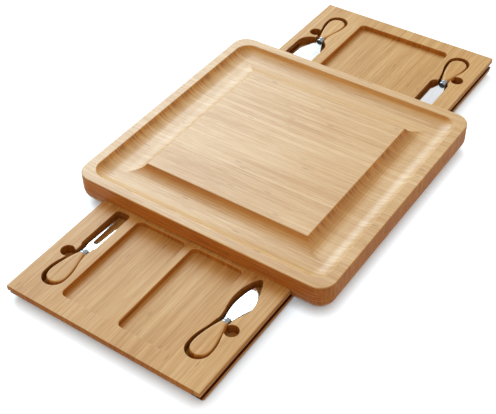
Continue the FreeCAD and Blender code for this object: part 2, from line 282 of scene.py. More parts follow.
def grain_place(tree, fibres):
    """Where a point lies, in mm along the fibres, across the strips and up, and how its face turns."""
    source = add(tree, "ShaderNodeTexCoord")
    scaled = add(tree, "ShaderNodeVectorMath",
                 {0: source.outputs["Object"], "Scale": MM_PER_METRE}, operation="SCALE")
    place = add(tree, "ShaderNodeSeparateXYZ", {0: scaled.outputs[0]}).outputs
    facing = add(tree, "ShaderNodeSeparateXYZ", {0: source.outputs["Normal"]}).outputs
    first, second = (0, 1) if fibres == "X" else (1, 0)
    return SimpleNamespace(
        along=place[first], across=place[second], up=place[2],
        with_fibres=facing[first], facing_up=calc(tree, "ABSOLUTE", facing[2]),
    )


print("grain coordinates are in mm, along, across and up")

# %% Faces by the way they were cut
CUT_FACE = (0.2, 0.85)
END_FACE = (0.9, 0.99)
SIDE_FACE = (0.42, 0.15)
LAMP_FACING = (-0.15, -0.5)
EDGE_TILT = (0.99, 0.9)
EDGE_FROM = 1.3
EDGE_TO = 0.5


def name_faces(tree, wood, top, lean):
    """Adds the shares that tell how a face was cut. The upper face is at top, in mm.

    Lean is how much of the painted shade on coves, and of the torn fibres, is left off the slopes
    that face the lamp, where its sheen lights them.
    """
    cuts = calc(tree, "ABSOLUTE", wood.with_fibres)
    wood.cut_face = step(tree, cuts, *CUT_FACE)
    wood.end_face = step(tree, cuts, *END_FACE)
    wood.side_face = step(tree, wood.facing_up, *SIDE_FACE)
    # Slopes that face the lamp, towards -X, read paler: less painted shade and fewer torn fibres.
    wood.clean_cut = product(tree, step(tree, wood.with_fibres, *LAMP_FACING), lean)
    # A paler upper edge, partly wear and partly a painted highlight.
    near_top = step(tree, wood.up, top - EDGE_FROM, top - EDGE_TO)
    wood.worn_edge = product(tree, step(tree, wood.facing_up, *EDGE_TILT), near_top)


print("faces: cut across the fibres, end grain, side, clean slope and worn edge")

# %% Strips and streaks
STRIP_STANDS = 9.0
STREAK_CONTRAST = (0.28, 0.72)
START_SPREAD = 90.0
FIBRE_SIZE = (30.0, 0.5)
FLECK_SIZE = (24.0, 1.3)
BAND_SIZE = (130.0, 2.6)
CLOUD_SIZE = (160.0, 60.0)
LAYER_SIZE = (70.0, 0.8)


def streaks(tree, place, size, shift):
    """Noise drawn out along the grain. Size is a streak's usual length and width in mm."""
    along, across, up = place
    length, width = size
    vector = add(tree, "ShaderNodeCombineXYZ", {
        0: calc(tree, "ADD", calc(tree, "DIVIDE", along, length), shift),
        1: calc(tree, "DIVIDE", across, width),
        2: calc(tree, "DIVIDE", up, width * STRIP_STANDS),
    })
    inputs = {"Vector": vector.outputs[0], "Scale": 1.0, "Detail": 2.0, "Roughness": 0.5}
    noise = add(tree, "ShaderNodeTexNoise", inputs).outputs["Fac"]
    return step(tree, noise, *STREAK_CONTRAST)


def lay_strips(tree, wood, strip, seed):
    """Adds the strips, each with chances of its own, and the streaks that run along them."""
    count = calc(tree, "ADD", calc(tree, "DIVIDE", wood.across, strip), seed)
    index = calc(tree, "FLOOR", count)
    wood.in_strip = calc(tree, "SUBTRACT", count, index)
    chance = add(tree, "ShaderNodeTexWhiteNoise", {"W": index}, noise_dimensions="1D")
    draws = add(tree, "ShaderNodeSeparateColor", {0: chance.outputs["Color"]}).outputs
    wood.own_tone, wood.own_start, wood.own_mark = draws[0], draws[1], draws[2]
    place = (wood.along, wood.across, wood.up)
    shift = product(tree, wood.own_start, START_SPREAD)
    wood.fibre = streaks(tree, place, FIBRE_SIZE, shift)
    wood.fleck = streaks(tree, place, FLECK_SIZE, shift)
    wood.band = streaks(tree, place, BAND_SIZE, shift)
    wood.cloud = streaks(tree, place, CLOUD_SIZE, seed)
    wood.layers = streaks(tree, (wood.along, wood.up, wood.across), LAYER_SIZE, seed)


print("streaks: fibre, fleck, band, cloud and the layers at the sides")

# %% Colour of the strips
SHADE_WEIGHTS = {"own_tone": 0.28, "fibre": 0.22, "fleck": 0.30, "band": 0.30, "cloud": 0.22}
TAN_AT = 0.10
HONEY_AT = 0.50
STRAW_AT = 0.90


def strip_colour(tree, wood, tan, honey, straw):
    """The strips' own colour, from tan by way of honey to straw."""
    shade = HONEY_AT
    for part, weight in SHADE_WEIGHTS.items():
        shade = calc(tree, "ADD", shade, around(tree, getattr(wood, part), weight))
    ramp = add(tree, "ShaderNodeValToRGB", {"Fac": shade})
    darkest, palest = ramp.color_ramp.elements[0], ramp.color_ramp.elements[1]
    darkest.position = TAN_AT
    darkest.color = tan
    palest.position = STRAW_AT
    palest.color = straw
    ramp.color_ramp.elements.new(HONEY_AT).color = honey
    return ramp.outputs[0]


print("strip tones from", len(SHADE_WEIGHTS), "causes")

# %% [markdown]
# ## Marks in the bamboo
#
# Over the strips' own colour lie the marks that tell wood from paint. Some belong to the cane: dark
# fibres, the dash of a node, the pores in end grain. Others come from the workshop: thin glue
# lines, layers that show at the sides, and torn fibres where a cutter met them head on. Each mark
# is a share from 0 to 1, worked out from the distances above, that mixes in one more brown.

# %% Dark fibres, layers and glue
DARK_FIBRE = tone(176, 124, 70)
NODE_BROWN = tone(138, 90, 46)
DARK_FLECK = (0.72, 0.98)
PALE_BAND = (0.7, 0.3)
DARK_LINE_SHARE = 0.5
LAYER_LINE = (0.45, 0.95)
LAYER_LINE_SHARE = 0.75
LAYER_LIGHT = (0.4, 0.0)
LAYER_LIGHT_SHARE = 0.5
GLUE_REACH = (0.30, 0.06)
GLUE_SHARE = 0.7


def line_marks(tree, wood, colour, strip, straw):
    """Lays dark fibres, the layers at the sides and the glue lines over the strips."""
    dark_line = product(
        tree, step(tree, wood.fleck, *DARK_FLECK), step(tree, wood.band, *PALE_BAND), DARK_LINE_SHARE)
    colour = mixed(tree, dark_line, colour, DARK_FIBRE)

    edge_grain = product(tree, wood.side_face, left_of(tree, wood.cut_face))
    layer_line = product(tree, step(tree, wood.layers, *LAYER_LINE), edge_grain, LAYER_LINE_SHARE)
    colour = mixed(tree, layer_line, colour, NODE_BROWN)
    layer_light = product(tree, step(tree, wood.layers, *LAYER_LIGHT), edge_grain, LAYER_LIGHT_SHARE)
    colour = mixed(tree, layer_light, colour, straw)

    from_edge = calc(tree, "MINIMUM", wood.in_strip, left_of(tree, wood.in_strip))
    glue_line = step(tree, product(tree, from_edge, strip), *GLUE_REACH)
    wood.glue = product(tree, glue_line, wood.own_mark, GLUE_SHARE)
    return mixed(tree, wood.glue, colour, DARK_FIBRE)


print("lines: dark fibres, layers and glue")

# %% Nodes, cut fibres and pores
PORE_BROWN = tone(116, 68, 30)
NODE_SPACING = 170.0
NODE_LENGTH = (6.0, 1.5)
NODE_WIDTH = (0.24, 0.05)
NODE_CHANCE = (0.45, 0.8)
NODE_SHARE = 0.42
TORN_BAND = (0.6, 0.15)
TORN_SHARE = 0.55
TORN_LESS_AT_SIDES = 0.35
PORES_PER_MM = 1.5
PORES_PER_MM_ALONG = 0.15
PORE_SIZE = (0.42, 0.12)
PORE_SHARE = 0.5


def node_marks(tree, wood, colour):
    """Lays the short dark dashes of the cane's nodes over some of the strips."""
    spacings = calc(tree, "ADD", calc(tree, "DIVIDE", wood.along, NODE_SPACING), wood.own_start)
    off_node = calc(tree, "SUBTRACT", calc(tree, "FRACT", spacings), 0.5)
    from_node = product(tree, calc(tree, "ABSOLUTE", off_node), NODE_SPACING)
    from_middle = calc(tree, "ABSOLUTE", calc(tree, "SUBTRACT", wood.in_strip, 0.5))
    dash = product(
        tree, step(tree, from_node, *NODE_LENGTH), step(tree, from_middle, *NODE_WIDTH),
        step(tree, wood.own_mark, *NODE_CHANCE), NODE_SHARE)
    return mixed(tree, dash, colour, NODE_BROWN)


def cut_marks(tree, wood, colour):
    """Lays torn fibres over faces that cut the grain, and pores over end grain."""
    torn_share = calc(tree, "SUBTRACT", TORN_SHARE, product(tree, wood.side_face, TORN_LESS_AT_SIDES))
    # Fewer torn fibres on slopes that face the lamp, so they read paler there: painted light.
    torn = product(
        tree, wood.cut_face, step(tree, wood.band, *TORN_BAND), torn_share,
        left_of(tree, wood.clean_cut))
    colour = mixed(tree, torn, colour, NODE_BROWN)

    pore_place = add(tree, "ShaderNodeCombineXYZ", {
        0: product(tree, wood.across, PORES_PER_MM), 1: product(tree, wood.up, PORES_PER_MM),
        2: product(tree, wood.along, PORES_PER_MM_ALONG),
    })
    cells = add(tree, "ShaderNodeTexVoronoi", {"Vector": pore_place.outputs[0], "Scale": 1.0})
    wood.pore = product(tree, step(tree, cells.outputs["Distance"], *PORE_SIZE), wood.end_face)
    return mixed(tree, product(tree, wood.pore, PORE_SHARE), colour, PORE_BROWN)


print("a node every", NODE_SPACING, "mm along a strip")

# %% [markdown]
# ## Painted shade and paler edges
#
# The finished board is rubbed with oil. The sides, the coves and the platform's front and right
# slopes turn away from the lamp, and their shade is painted in as a darker, warmer tint; slopes
# that face the lamp keep less of it. The walls of the deep pockets and the drawers' grooves get
# painted shade too, and the upper edges are made paler, partly wear and partly a painted
# highlight. A tint multiplies the colour below it, so the grain shows through. The painted shade
# in pockets and grooves covers it.

# %% Painted shade on sides, coves and slopes
# Tints of painted shade for faces that turn away from the lamp: sides, end grain, coves and slopes.
SIDE_SHADE = tone(238, 198, 146)
END_SHADE = tone(236, 212, 180)
OUTER_SIDE_SHADE = tone(255, 246, 236)
COVE_SHADE = tone(250, 226, 176)
SLOPE_SHADE = tone(229, 206, 162)
COVE_TILT = (0.97, 0.72)
SLOPE_TILT = (0.9998, 0.972)
SLOPE_FADE = 2.0
REAR_MITRE = (-0.4, 0.4)
LESS_ON_CUT_FACE = 0.8
LEFT_SLOPE = (-0.06, -0.01)
PALE_FROM = 4.0
PALE_TO = 5.0


def slope_shade(tree, wood, platform):
    """The share of painted shade on the platform's front and right slopes, which turn away from the lamp
    and end at platform, in mm.
    """
    beside = calc(tree, "ABSOLUTE", wood.along)
    out = calc(tree, "MAXIMUM", beside, calc(tree, "ABSOLUTE", wood.across))
    behind = step(tree, calc(tree, "SUBTRACT", wood.across, beside), *REAR_MITRE)
    return product(
        tree, step(tree, out, platform, platform - SLOPE_FADE), step(tree, wood.facing_up, *SLOPE_TILT),
        left_of(tree, behind), left_of(tree, product(tree, wood.cut_face, LESS_ON_CUT_FACE)),
        step(tree, wood.with_fibres, *LEFT_SLOPE))


def shade_tints(tree, wood, colour, side, end, platform, groove):
    """Paints shade on coves, slopes and sides as a darker, warmer tint. A drawer's outer sides, beyond
    its groove, get only a faint tint.
    """
    # Painted shade on the coves, less where a slope faces the lamp.
    cove_shade = product(tree, step(tree, wood.facing_up, *COVE_TILT), left_of(tree, wood.clean_cut))
    # Painted shade on the sides, with its own tint on end grain.
    side_shade = mixed(tree, wood.cut_face, side, end)
    if groove:
        beyond = calc(tree, "ABSOLUTE", wood.across)
        # A drawer's outer sides, beyond the groove, get only a faint painted shade.
        outside = step(tree, beyond, groove.reach + PALE_FROM, groove.reach + PALE_TO)
        side_shade = mixed(tree, outside, side_shade, OUTER_SIDE_SHADE)
        cove_shade = product(tree, cove_shade, left_of(tree, outside))
    colour = mixed(tree, cove_shade, colour, COVE_SHADE, "MULTIPLY")
    if platform:
        # Painted shade on the platform's front and right slopes.
        colour = mixed(tree, slope_shade(tree, wood, platform), colour, SLOPE_SHADE, "MULTIPLY")
    return mixed(tree, wood.side_face, colour, side_shade, "MULTIPLY")


print("oil on coves, slopes and sides")

# %% Painted shade in pockets and grooves, and paler edges
# Browns of painted shade for the pocket walls and the groove, and the paler tan of the upper edges.
POCKET_SHADE_BROWN = tone(86, 44, 18)
GROOVE_SHADE_BROWN = tone(100, 48, 18)
EDGE_HIGHLIGHT_TAN = tone(222, 196, 152)
POCKET_SHADE_SHARE = 0.38
SHADE_FADE = 1.0
GROOVE_FADE = 0.3
EDGE_HIGHLIGHT_SHARE = 0.75


def shade_and_edge_marks(tree, wood, colour, pockets, groove):
    """Paints shade on the walls of the pockets and in the groove, and makes the upper edges paler,
    partly wear and partly a painted highlight.
    """
    if pockets:
        # Painted shade on the walls of the tool pockets, covering the grain.
        pocket_shade = product(tree, wood.side_face, POCKET_SHADE_SHARE)
        for distance, (near, far) in zip((wood.across, wood.along), pockets):
            away = calc(tree, "ABSOLUTE", distance)
            pocket_shade = product(
                tree, pocket_shade, step(tree, away, near, near + SHADE_FADE),
                step(tree, away, far, far - SHADE_FADE))
        colour = mixed(tree, pocket_shade, colour, POCKET_SHADE_BROWN)
    if groove:
        beyond = calc(tree, "ABSOLUTE", wood.across)
        # Painted shade in the groove along each side of a drawer.
        groove_shade = product(
            tree, step(tree, wood.up, groove.low, groove.low + GROOVE_FADE),
            step(tree, wood.up, groove.high, groove.high - GROOVE_FADE),
            step(tree, beyond, groove.reach, groove.reach + SHADE_FADE))
        colour = mixed(tree, groove_shade, colour, GROOVE_SHADE_BROWN)
    # Paler upper edges: partly wear, partly a painted highlight.
    return mixed(tree, product(tree, wood.worn_edge, EDGE_HIGHLIGHT_SHARE), colour, EDGE_HIGHLIGHT_TAN)


print("scorched walls and worn edges")

# %% Bamboo
SATIN_LEVEL = 0.54
DULL_LEVEL = 0.30
SATIN_ROUGHNESS = 0.42
FIBRE_GLOSS = -0.16
SIDE_DULLER = 0.2
WORN_DULLER = 0.35
FIBRE_RELIEF = 0.5
PORE_RELIEF = 0.6
RELIEF = {"Strength": 0.12, "Distance": 0.0004}


def bamboo(name, fibres, strip, tones, seed, top, side=SIDE_SHADE, end=END_SHADE,
           roughness=SATIN_ROUGHNESS, satin=SATIN_LEVEL, lean=0.0, platform=None, pockets=None,
           groove=None):
    """Glued bamboo whose fibres run along X or Y, in strips of that width, tan, honey and straw."""
    material, tree, shader = new_material(name)
    tan, honey, straw = [tone(*part) for part in tones]
    wood = grain_place(tree, fibres)
    name_faces(tree, wood, top, lean)
    lay_strips(tree, wood, strip, seed)
    colour = strip_colour(tree, wood, tan, honey, straw)
    colour = line_marks(tree, wood, colour, strip, straw)
    colour = node_marks(tree, wood, colour)
    colour = cut_marks(tree, wood, colour)
    colour = shade_tints(tree, wood, colour, side, end, platform, groove)
    colour = shade_and_edge_marks(tree, wood, colour, pockets, groove)
    tree.links.new(colour, shader.inputs["Base Color"])

    gloss = calc(tree, "ADD", roughness, around(tree, wood.fibre, FIBRE_GLOSS))
    gloss = calc(tree, "ADD", gloss, product(tree, wood.side_face, SIDE_DULLER))
    gloss = calc(tree, "ADD", gloss, product(tree, wood.worn_edge, WORN_DULLER))
    tree.links.new(gloss, shader.inputs["Roughness"])

    relief = calc(tree, "SUBTRACT", product(tree, wood.fibre, FIBRE_RELIEF), wood.glue)
    relief = calc(tree, "SUBTRACT", relief, product(tree, wood.pore, PORE_RELIEF))
    bump = add(tree, "ShaderNodeBump", {**RELIEF, "Height": relief})
    tree.links.new(bump.outputs[0], shader.inputs["Normal"])
    shader.inputs["Specular IOR Level"].default_value = satin
    return material


print("bamboo recipe ready")

# %% Five bamboo finishes
BOARD_TOP = 40.0
RAIL_TOP = 21.0
DRAWER_TOP = 20.6
SLOPES_END = 130.0
POCKETS_ACROSS = (69.5, 117.0)
POCKETS_ALONG = (164.0, 306.0)
DRAWER_GROOVE = SimpleNamespace(low=8.3, high=14.4, reach=112.0)
# Side tints of painted shade for the handles, rails and drawers, faint on the drawers.
HANDLE_SIDE_SHADE = tone(186, 120, 66)
RAIL_SIDE_SHADE = tone(236, 206, 164)
DRAWER_SIDE_SHADE = tone(246, 226, 198)

board_bamboo = bamboo(
    "bamboo_board", "X", strip=6.2, tones=((197, 160, 105), (215, 188, 140), (229, 208, 168)),
    seed=11.3, top=BOARD_TOP, lean=0.8, platform=SLOPES_END)
rail_bamboo = bamboo(
    "bamboo_rail", "Y", strip=6.2, tones=((190, 144, 88), (208, 168, 112), (222, 190, 140)),
    seed=31.7, top=RAIL_TOP, side=RAIL_SIDE_SHADE)
drawer_bamboo = bamboo(
    "bamboo_drawer", "Y", strip=5.8, tones=((188, 149, 90), (206, 172, 114), (220, 194, 144)),
    seed=57.1, top=DRAWER_TOP, side=DRAWER_SIDE_SHADE, end=DRAWER_SIDE_SHADE, satin=DULL_LEVEL,
    pockets=(POCKETS_ACROSS, POCKETS_ALONG), groove=DRAWER_GROOVE)
inner_bamboo = bamboo(
    "bamboo_inner", "Y", strip=5.0, tones=((190, 145, 92), (207, 166, 112), (222, 188, 138)),
    seed=73.9, top=RAIL_TOP, roughness=0.55, satin=DULL_LEVEL)
handle_bamboo = bamboo(
    "bamboo_handle", "Y", strip=4.2, tones=((184, 144, 84), (206, 170, 108), (222, 194, 138)),
    seed=91.4, top=DRAWER_TOP, side=HANDLE_SIDE_SHADE, satin=DULL_LEVEL)
print("five bamboo finishes")

# %% [markdown]
# ## Steel and rubber
#
# The tools' blades are polished sheet steel: almost a mirror, with the faint lengthwise lines
# that the polishing wheel leaves. The ferrules between blade and handle are turned, so their
# lines run round. The pads under the rails are moulded rubber, dark and slightly mottled.

# %% Steel
# The dark of painted shade in the hollow end of each ferrule.
HOLLOW_SHADE = tone(58, 58, 60)
LINE_DARKER = 16
LINE_CONTRAST = (0.35, 0.65)
SCRATCH_WEIGHT = 0.10
SMEAR_WEIGHT = 0.12
SMEARS_PER_MM = 0.06
LINE_DEPTH = 0.0001


def steel(name, colour, smooth, lines, line_direction):
    """Steel with fine polishing lines. line_direction gives the lines per mm along X, Y and Z."""
    material, tree, shader = new_material(name)
    source = add(tree, "ShaderNodeTexCoord").outputs["Object"]
    stretch = [per_mm * MM_PER_METRE for per_mm in line_direction]
    line_place = add(tree, "ShaderNodeMapping", {"Vector": source, "Scale": stretch}).outputs[0]
    scratch = add(tree, "ShaderNodeTexNoise",
                  {"Vector": line_place, "Scale": 1.0, "Detail": 2.0}).outputs["Fac"]
    smear_place = add(tree, "ShaderNodeVectorMath",
                      {0: source, "Scale": SMEARS_PER_MM * MM_PER_METRE}, operation="SCALE").outputs[0]
    smear = add(tree, "ShaderNodeTexNoise",
                {"Vector": smear_place, "Scale": 1.0, "Detail": 2.0}).outputs["Fac"]
    worn = calc(tree, "ADD", around(tree, scratch, SCRATCH_WEIGHT), around(tree, smear, SMEAR_WEIGHT))
    tree.links.new(calc(tree, "ADD", worn, smooth), shader.inputs["Roughness"])
    darker = tone(*[part - LINE_DARKER for part in colour])
    bright = mixed(tree, step(tree, scratch, *LINE_CONTRAST), darker, tone(*colour))
    # The ferrule's hollow end is darkened: painted shade.
    hollow = add(tree, "ShaderNodeAttribute", attribute_name="hollow").outputs["Fac"]
    bright = mixed(tree, hollow, bright, HOLLOW_SHADE)
    tree.links.new(bright, shader.inputs["Base Color"])
    bump = add(tree, "ShaderNodeBump", {"Strength": lines, "Distance": LINE_DEPTH, "Height": scratch})
    tree.links.new(bump.outputs[0], shader.inputs["Normal"])
    shader.inputs["Metallic"].default_value = 1.0
    return material


blade_steel = steel("polished_steel", (230, 232, 235), smooth=0.16, lines=0.05,
                    line_direction=(3.0, 0.04, 3.0))
ferrule_steel = steel("ferrule_steel", (158, 160, 163), smooth=0.26, lines=0.10,
                      line_direction=(0.3, 4.0, 0.3))
print("two steels")

# %% Rubber
RUBBER_DARK = tone(44, 43, 42)
RUBBER_PALE = tone(66, 64, 61)
RUBBER_ROUGHNESS = 0.62
MOTTLE_WEIGHT = 0.3
MOTTLES_PER_METRE = 900.0
RUBBER_RELIEF = {"Strength": 0.3, "Distance": 0.0002}

rubber, rubber_tree, rubber_shader = new_material("pad_rubber")
rubber_place = add(rubber_tree, "ShaderNodeTexCoord").outputs["Object"]
mottle = add(rubber_tree, "ShaderNodeTexNoise", {
    "Vector": rubber_place, "Scale": MOTTLES_PER_METRE, "Detail": 4.0,
}).outputs["Fac"]
rubber_colour = mixed(rubber_tree, mottle, RUBBER_DARK, RUBBER_PALE)
rubber_gloss = calc(rubber_tree, "ADD", RUBBER_ROUGHNESS, around(rubber_tree, mottle, MOTTLE_WEIGHT))
rubber_bump = add(rubber_tree, "ShaderNodeBump", {**RUBBER_RELIEF, "Height": mottle})
rubber_tree.links.new(rubber_colour, rubber_shader.inputs["Base Color"])
rubber_tree.links.new(rubber_gloss, rubber_shader.inputs["Roughness"])
rubber_tree.links.new(rubber_bump.outputs[0], rubber_shader.inputs["Normal"])
print("pad rubber")

# %% Finishes onto the construction pieces
finishes = {
    "bamboo_board": board_bamboo, "bamboo_rail": rail_bamboo, "bamboo_drawer": drawer_bamboo,
    "bamboo_inner": inner_bamboo, "bamboo_handle": handle_bamboo, "polished_steel": blade_steel,
    "ferrule_steel": ferrule_steel, "pad_rubber": rubber,
}
for node in nodes.values():
    for material_slot in node.material_slots:
        slot_name = material_slot.material.name.split(".")[0]
        material_slot.material = finishes[slot_name]
print("finished", len(nodes), "construction pieces")

# %% [markdown]
# ## Drawer ends
#
# The outer ends of the drawers serve as their handles: the lower edge is rounded under, so that
# fingers find a hold. The construction model takes that rounding straight from the board's own
# edge. In the photograph the drawers' ends stand upright for a few millimetres first and then turn
# under. So each ply is copied, and only the points of its outer end are moved, each to the place
# that the fuller profile gives for its height.

# %% Helpers for copied pieces
MM = 0.001
WELD = 0.002 * MM


def welded_copy(node_name):
    """A construction piece's shape, copied, with its loose triangles joined."""
    shape = bmesh.new()
    shape.from_mesh(nodes[node_name].data)
    bmesh.ops.remove_doubles(shape, verts=shape.verts, dist=WELD)
    return shape


def finished_mesh(shape, name, material):
    """The edited shape as a mesh with its finish."""
    mesh = bpy.data.meshes.new(name)
    shape.to_mesh(mesh)
    shape.free()
    mesh.materials.append(material)
    return mesh


def add_piece(name, mesh, body, slot, *replaced):
    """A finished piece that rides on a body and stands for construction nodes."""
    piece = bpy.data.objects.new(name, mesh)
    bpy.context.scene.collection.objects.link(piece)
    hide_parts(*replaced)
    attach(piece, body)
    return piece


print("helpers for copied pieces ready")

# %% Six drawer plies
END_ZONE = 10.8 * MM
END_ROUND = 13.0 * MM
END_UPRIGHT_TO = 15.4 * MM


def upright_end(name, node_name, end_y):
    """A copy of a drawer ply whose outer end stands upright before it turns under."""
    shape = welded_copy(node_name)
    inwards = -1.0 if end_y > 0 else 1.0
    moved = 0
    for vertex in shape.verts:
        from_end = (vertex.co.y - end_y) * inwards
        if from_end < END_ZONE:
            below = max(END_UPRIGHT_TO - vertex.co.z, 0.0)
            vertex.co.y = end_y + inwards * (END_ROUND - (END_ROUND ** 2 - below ** 2) ** 0.5)
            moved += 1
    print(name, "has", moved, "points at its end")
    return finished_mesh(shape, name, drawer_bamboo)


for drawer, outer_corner in (("front_drawer", 0), ("rear_drawer", 1)):
    end_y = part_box(drawer + "_top")[outer_corner][1]
    for layer in ("top", "core", "base"):
        node_name = drawer + "_" + layer
        ply_mesh = upright_end(node_name + "_ply", node_name, end_y)
        add_piece(node_name + "_ply", ply_mesh, drawer, "bamboo_drawer", node_name)

# %% [markdown]
# ## Milled tray
#
# The channel round the platform is cut with a cove cutter and then sanded, and sanding draws the
# foot of each cove out into the floor. The construction model has a plain arc there. So the tray is
# copied too, and each level of the channel changes its size a little: the levels near the floor
# most, the edges above not at all. A level keeps its outline, so a point only moves towards the
# middle of the board or away from it. The slopes meet in a mitre at the platform's corners, and
# those edges are marked sharp, so that each slope is shaded by itself. Normals weighted by area keep
# the flats flat.

# %% Tray with drawn-out coves
CHANNEL_DEPTH = 8.5 * MM
PLATFORM_HALF = 106.5 * MM
RIM_HALF = 153.0 * MM
CHANNEL_MIDDLE = (PLATFORM_HALF + RIM_HALF) / 2
INNER_RUN_OUT = 6.0 * MM
OUTER_RUN_OUT = 3.5 * MM
INNER_HOLD = 5
OUTER_HOLD = 3
FLOOR_SLACK = 0.01
MITRE_SLACK = 0.02 * MM
TRAY_CREASE = radians(32.0)


def draw_out_coves(shape, floor_z):
    """Moves the feet of the coves further into the channel's floor."""
    for vertex in shape.verts:
        out = max(abs(vertex.co.x), abs(vertex.co.y))
        height = (vertex.co.z - floor_z) / CHANNEL_DEPTH
        if out < RIM_HALF and -FLOOR_SLACK < height < 1.0:
            low = min(1.0 - height, 1.0)
            if out < CHANNEL_MIDDLE:
                larger = 1.0 + INNER_RUN_OUT * low ** INNER_HOLD / out
            else:
                larger = 1.0 - OUTER_RUN_OUT * low ** OUTER_HOLD / out
            vertex.co.x *= larger
            vertex.co.y *= larger
    shape.normal_update()


def mark_creases(shape):
    """Shades the shape smooth, apart from its creases and the mitres at the platform's corners."""
    for face in shape.faces:
        face.smooth = True
    for edge in shape.edges:
        mitre = all(abs(abs(end.co.x) - abs(end.co.y)) < MITRE_SLACK for end in edge.verts)
        edge.smooth = not mitre and edge.calc_face_angle(0.0) < TRAY_CREASE


tray_shape = welded_copy("tray_top")
draw_out_coves(tray_shape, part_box("tray_top")[1][2] - CHANNEL_DEPTH)
mark_creases(tray_shape)
tray_mesh = finished_mesh(tray_shape, "milled_tray", board_bamboo)
tray = add_piece("milled_tray", tray_mesh, "board", "bamboo_board", "tray_top")
flats = tray.modifiers.new("flats stay flat", "WEIGHTED_NORMAL")
flats.mode = "FACE_AREA"
flats.keep_sharp = True
print("tray:", len(tray_mesh.polygons), "faces")

# %% [markdown]
# ## Handles from a rule
#
# Each tool has a flat pear of bamboo for a handle: a lathe gives the pear, and then a sander takes
# two flats off it and eases what is left of the edges. The four handles are the same, so one
# Geometry Nodes tree makes them all. It draws a line, gives every point on it a radius from a
# curve, skins the line with circles, and presses the skin flat with a smooth minimum, which
# rounds the edge between flat and side just as the sander does. Points are crowded towards the
# round end, where the outline turns fastest.

# %% Helpers for Geometry Nodes
def new_tree(name, **inputs):
    """An empty Geometry Nodes tree with named inputs, and the sockets that give their values."""
    tree = bpy.data.node_groups.new(name, "GeometryNodeTree")
    tree.interface.new_socket("Geometry", in_out="OUTPUT", socket_type="NodeSocketGeometry")
    for label, kind in inputs.items():
        tree.interface.new_socket(label, in_out="INPUT", socket_type="NodeSocket" + kind)
    return tree, add(tree, "NodeGroupInput").outputs


def end_tree(tree, geometry, material):
    """Real geometry with its finish, as the tree's result."""
    real = add(tree, "GeometryNodeRealizeInstances", {0: geometry})
    painted = add(tree, "GeometryNodeSetMaterial", {0: real.outputs[0], "Material": material})
    add(tree, "NodeGroupOutput", {0: painted.outputs[0]})


def run_tree(tree, **values):
    """The plain mesh that a tree makes from these values."""
    holder = bpy.data.objects.new("holder", bpy.data.meshes.new("holder"))
    bpy.context.scene.collection.objects.link(holder)
    modifier = holder.modifiers.new("tree", "NODES")
    modifier.node_group = tree
    for item in tree.interface.items_tree:
        if item.in_out == "INPUT":
            modifier[item.identifier] = values[item.name]
    evaluated = holder.evaluated_get(bpy.context.evaluated_depsgraph_get())
    mesh = bpy.data.meshes.new_from_object(evaluated)
    holder.modifiers.remove(modifier)
    bpy.data.objects.remove(holder)
    return mesh


print("Geometry Nodes helpers ready")

# %% Pear handle tree
PEAR_CURVE = [
    (0.0, 0.0), (0.22, 0.59), (0.40, 0.925), (0.52, 1.0), (0.62, 0.975), (0.72, 0.90),
    (0.80, 0.81), (0.90, 0.65), (1.0, 0.45),
]
PEAR_RINGS = 56
PEAR_SIDES = 64
PEAR_WELD = 0.02 * MM

pear, given = new_tree("pear_handle", Length="Float", Radius="Float", Thickness="Float", Edge="Float",
                       Place="Vector", Turn="Rotation", Finish="Material")
line = add(pear, "GeometryNodeCurvePrimitiveLine").outputs[0]
line = add(pear, "GeometryNodeResampleCurve", {"Curve": line, "Count": PEAR_RINGS}).outputs[0]
share = add(pear, "GeometryNodeSplineParameter").outputs["Factor"]
outline = add(pear, "ShaderNodeFloatCurve", {"Value": share})
pear_points = outline.mapping.curves[0].points
for curve_point in PEAR_CURVE[1:-1]:
    pear_points.new(*curve_point)
pear_points[0].location = PEAR_CURVE[0]
pear_points[-1].location = PEAR_CURVE[-1]
outline.mapping.update()
wide = product(pear, outline.outputs[0], given["Radius"])
line = add(pear, "GeometryNodeSetCurveRadius", {"Curve": line, "Radius": wide}).outputs[0]
reach = product(pear, share, share, given["Length"])
spot = add(pear, "ShaderNodeCombineXYZ", {1: reach}).outputs[0]
line = add(pear, "GeometryNodeSetPosition", {"Geometry": line, "Position": spot}).outputs[0]
print("pear outline from", len(PEAR_CURVE), "points")

# %% Pear skin, pressed flat
ring = add(pear, "GeometryNodeCurvePrimitiveCircle",
           {"Resolution": PEAR_SIDES, "Radius": 1.0}).outputs[0]
at_radius = add(pear, "GeometryNodeInputRadius").outputs[0]
skin = add(pear, "GeometryNodeCurveToMesh",
           {"Curve": line, "Profile Curve": ring, "Scale": at_radius, "Fill Caps": True}).outputs[0]
position = add(pear, "GeometryNodeInputPosition").outputs[0]
here = add(pear, "ShaderNodeSeparateXYZ", {0: position}).outputs
flat = product(pear, given["Thickness"], 0.5)
pressed = calc(pear, "SMOOTH_MIN", calc(pear, "ABSOLUTE", here[2]), flat, given["Edge"])
pressed = product(pear, pressed, calc(pear, "SIGN", here[2]))
spot = add(pear, "ShaderNodeCombineXYZ", {0: here[0], 1: here[1], 2: pressed}).outputs[0]
skin = add(pear, "GeometryNodeSetPosition", {"Geometry": skin, "Position": spot}).outputs[0]
skin = add(pear, "GeometryNodeMergeByDistance", {"Geometry": skin, "Distance": PEAR_WELD}).outputs[0]
skin = add(pear, "GeometryNodeSetShadeSmooth", {"Geometry": skin}).outputs[0]
skin = add(pear, "GeometryNodeTransform",
           {"Geometry": skin, "Translation": given["Place"], "Rotation": given["Turn"]}).outputs[0]
end_tree(pear, skin, given["Finish"])
print("pear handle tree:", len(pear.nodes), "nodes")

# %% Four handles
TOOLS = {"fork": 1, "spade": 1, "bell": -1, "chisel": -1}
PEAR_WITHIN = 0.996
PEAR_EDGE = 1.8 * MM


def middle_of(low, high):
    """The middle of a box."""
    return [(a + b) / 2 for a, b in zip(low, high)]


